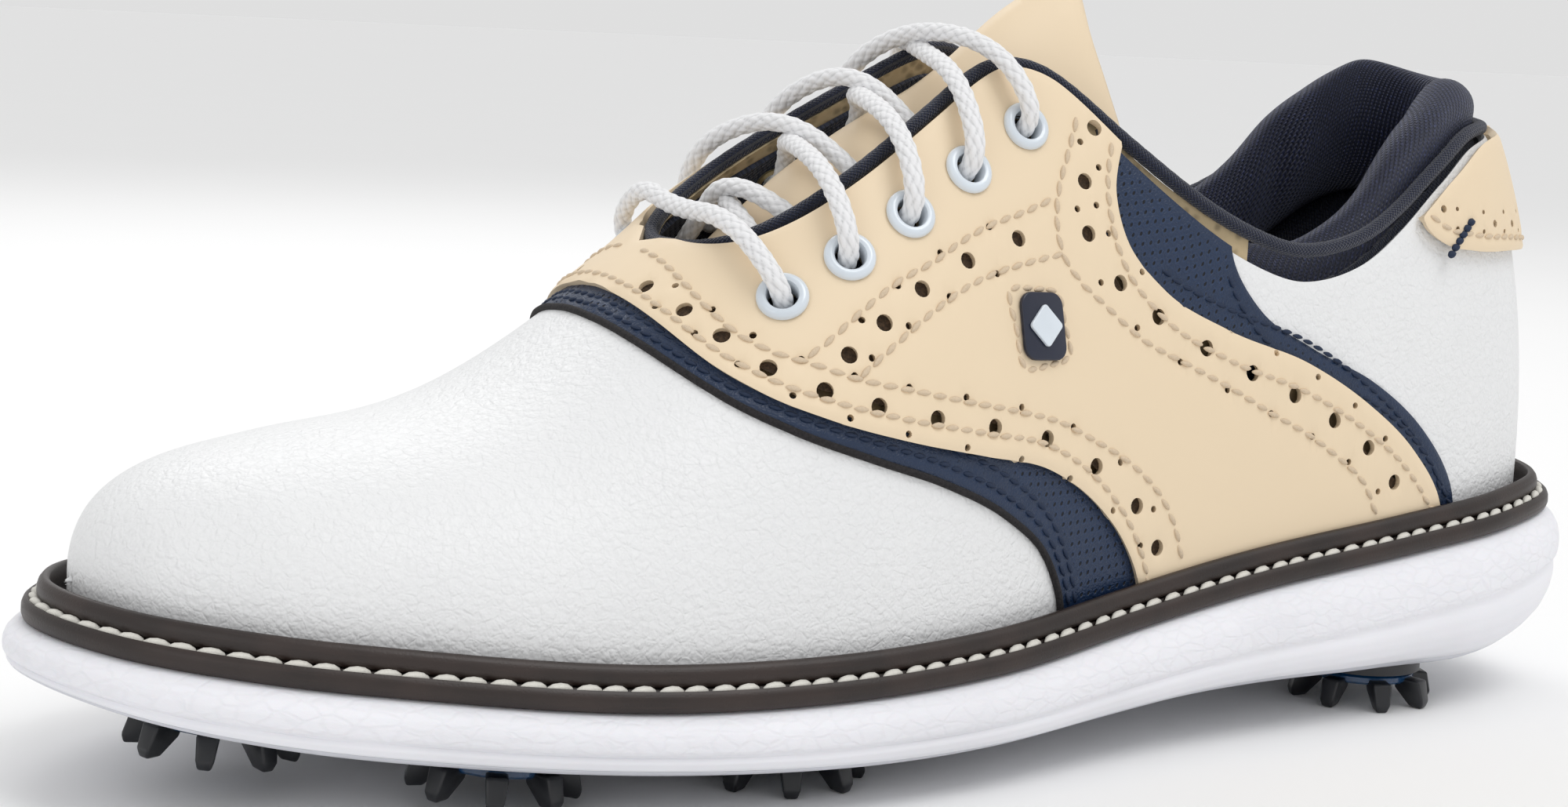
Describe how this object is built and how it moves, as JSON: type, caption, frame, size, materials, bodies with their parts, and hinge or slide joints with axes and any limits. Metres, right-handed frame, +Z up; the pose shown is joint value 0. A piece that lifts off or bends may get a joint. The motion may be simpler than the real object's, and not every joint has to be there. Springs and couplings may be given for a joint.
{
  "type": "golf shoe",
  "caption": "Left laced golf shoe with a leather saddle upper, stitched welt, padded collar, hinged tongue and twist-lock soft spikes.",
  "frame": {"origin": "centre of the bounding box on the ground under the spike tips", "axes": "+Z up, +X towards the heel, -Y the lateral side, +Y the medial side"},
  "size_m": [0.3014, 0.1091, 0.1248],
  "materials": {
    "white_leather": "pebbled white leather",
    "tan_nubuck": "brushed tan nubuck",
    "navy_leather": "perforated navy leather",
    "navy_binding": "woven binding",
    "dark_lining": "textile lining",
    "navy_knit": "ribbed knit",
    "foam": "open-cell foam",
    "stiffener_board": "thermoplastic-filled fibre",
    "tongue_nubuck": "brushed tan nubuck",
    "eyelet_plastic": "glossy pale plastic",
    "washer_brass": "brass",
    "lace_cotton": "round braided polyester",
    "aglet_film": "clear shrink film",
    "badge_navy": "moulded",
    "badge_pale": "moulded",
    "midsole_foam": "moulded foam with a leather-like skin",
    "outsole_plastic": "moulded thermoplastic urethane",
    "welt_rubber": "semi-gloss dark brown",
    "cork": "cork filler",
    "sockliner_foam": "textile on foam",
    "shank_steel": "spring steel",
    "socket_plastic": "nylon",
    "spike_plastic": "black urethane with blue disc"
  },
  "bodies": {
    "shoe": {"vamp": "white_leather", "heel_quarter": "white_leather", "front_accent": "navy_leather", "rear_accents": "navy_leather", "saddle": "tan_nubuck", "heel_tab": "tan_nubuck", "toe_puff": "stiffener_board", "heel_counter": "stiffener_board", "saddle_backer": "stiffener_board", "vamp_lining": "dark_lining", "quarter_lining": "dark_lining", "collar_foam": "foam", "collar_knit": "navy_knit", "topline_piping": "navy_binding", "eyelets_lateral": "eyelet_plastic", "eyelets_medial": "eyelet_plastic", "eyelet_washers": "washer_brass", "lace": "lace_cotton", "aglets": "aglet_film", "badge_plate": "badge_navy", "badge_emblem": "badge_pale", "midsole": "midsole_foam", "outsole": "outsole_plastic", "shank": "shank_steel", "welt": "welt_rubber", "storm_bead": "welt_rubber", "bottom_filler": "cork", "insole_board": "stiffener_board", "sockliner": "sockliner_foam", "spike_receptacles": "socket_plastic"},
    "tongue": {"tongue_face": "tongue_nubuck", "tongue_foam": "foam", "tongue_back": "dark_lining"},
    "spike_toe": {"spike_toe": "spike_plastic"},
    "spike_front_lateral": {"spike_front_lateral": "spike_plastic"},
    "spike_front_medial": {"spike_front_medial": "spike_plastic"},
    "spike_ball_lateral": {"spike_ball_lateral": "spike_plastic"},
    "spike_ball_medial": {"spike_ball_medial": "spike_plastic"},
    "spike_heel_lateral": {"spike_heel_lateral": "spike_plastic"},
    "spike_heel_medial": {"spike_heel_medial": "spike_plastic"}
  },
  "joints": [
    {"name": "tongue_swing", "type": "hinge", "parent": "shoe", "child": "tongue", "pos_m": [-0.0445, 0, 0.0715], "axis": [0, 1, 0], "range_deg": [0, 9]},
    {"name": "spike_toe_twist", "type": "hinge", "parent": "shoe", "child": "spike_toe", "pos_m": [-0.121, -0.003, 0.0122], "axis": [0.1167, 0, 0.9932], "range_deg": [0, 60]},
    {"name": "spike_front_lateral_twist", "type": "hinge", "parent": "shoe", "child": "spike_front_lateral", "pos_m": [-0.084, -0.027, 0.0086], "axis": [0.0767, 0, 0.9971], "range_deg": [0, 60]},
    {"name": "spike_front_medial_twist", "type": "hinge", "parent": "shoe", "child": "spike_front_medial", "pos_m": [-0.091, 0.027, 0.0092], "axis": [0.0837, 0, 0.9965], "range_deg": [0, 60]},
    {"name": "spike_ball_lateral_twist", "type": "hinge", "parent": "shoe", "child": "spike_ball_lateral", "pos_m": [-0.034, -0.029, 0.0065], "axis": [0, 0, 1], "range_deg": [0, 60]},
    {"name": "spike_ball_medial_twist", "type": "hinge", "parent": "shoe", "child": "spike_ball_medial", "pos_m": [-0.046, 0.029, 0.0065], "axis": [0, 0, 1], "range_deg": [0, 60]},
    {"name": "spike_heel_lateral_twist", "type": "hinge", "parent": "shoe", "child": "spike_heel_lateral", "pos_m": [0.099, -0.019, 0.0065], "axis": [0, 0, 1], "range_deg": [0, 60]},
    {"name": "spike_heel_medial_twist", "type": "hinge", "parent": "shoe", "child": "spike_heel_medial", "pos_m": [0.099, 0.02, 0.0065], "axis": [0, 0, 1], "range_deg": [0, 60]}
  ]
}
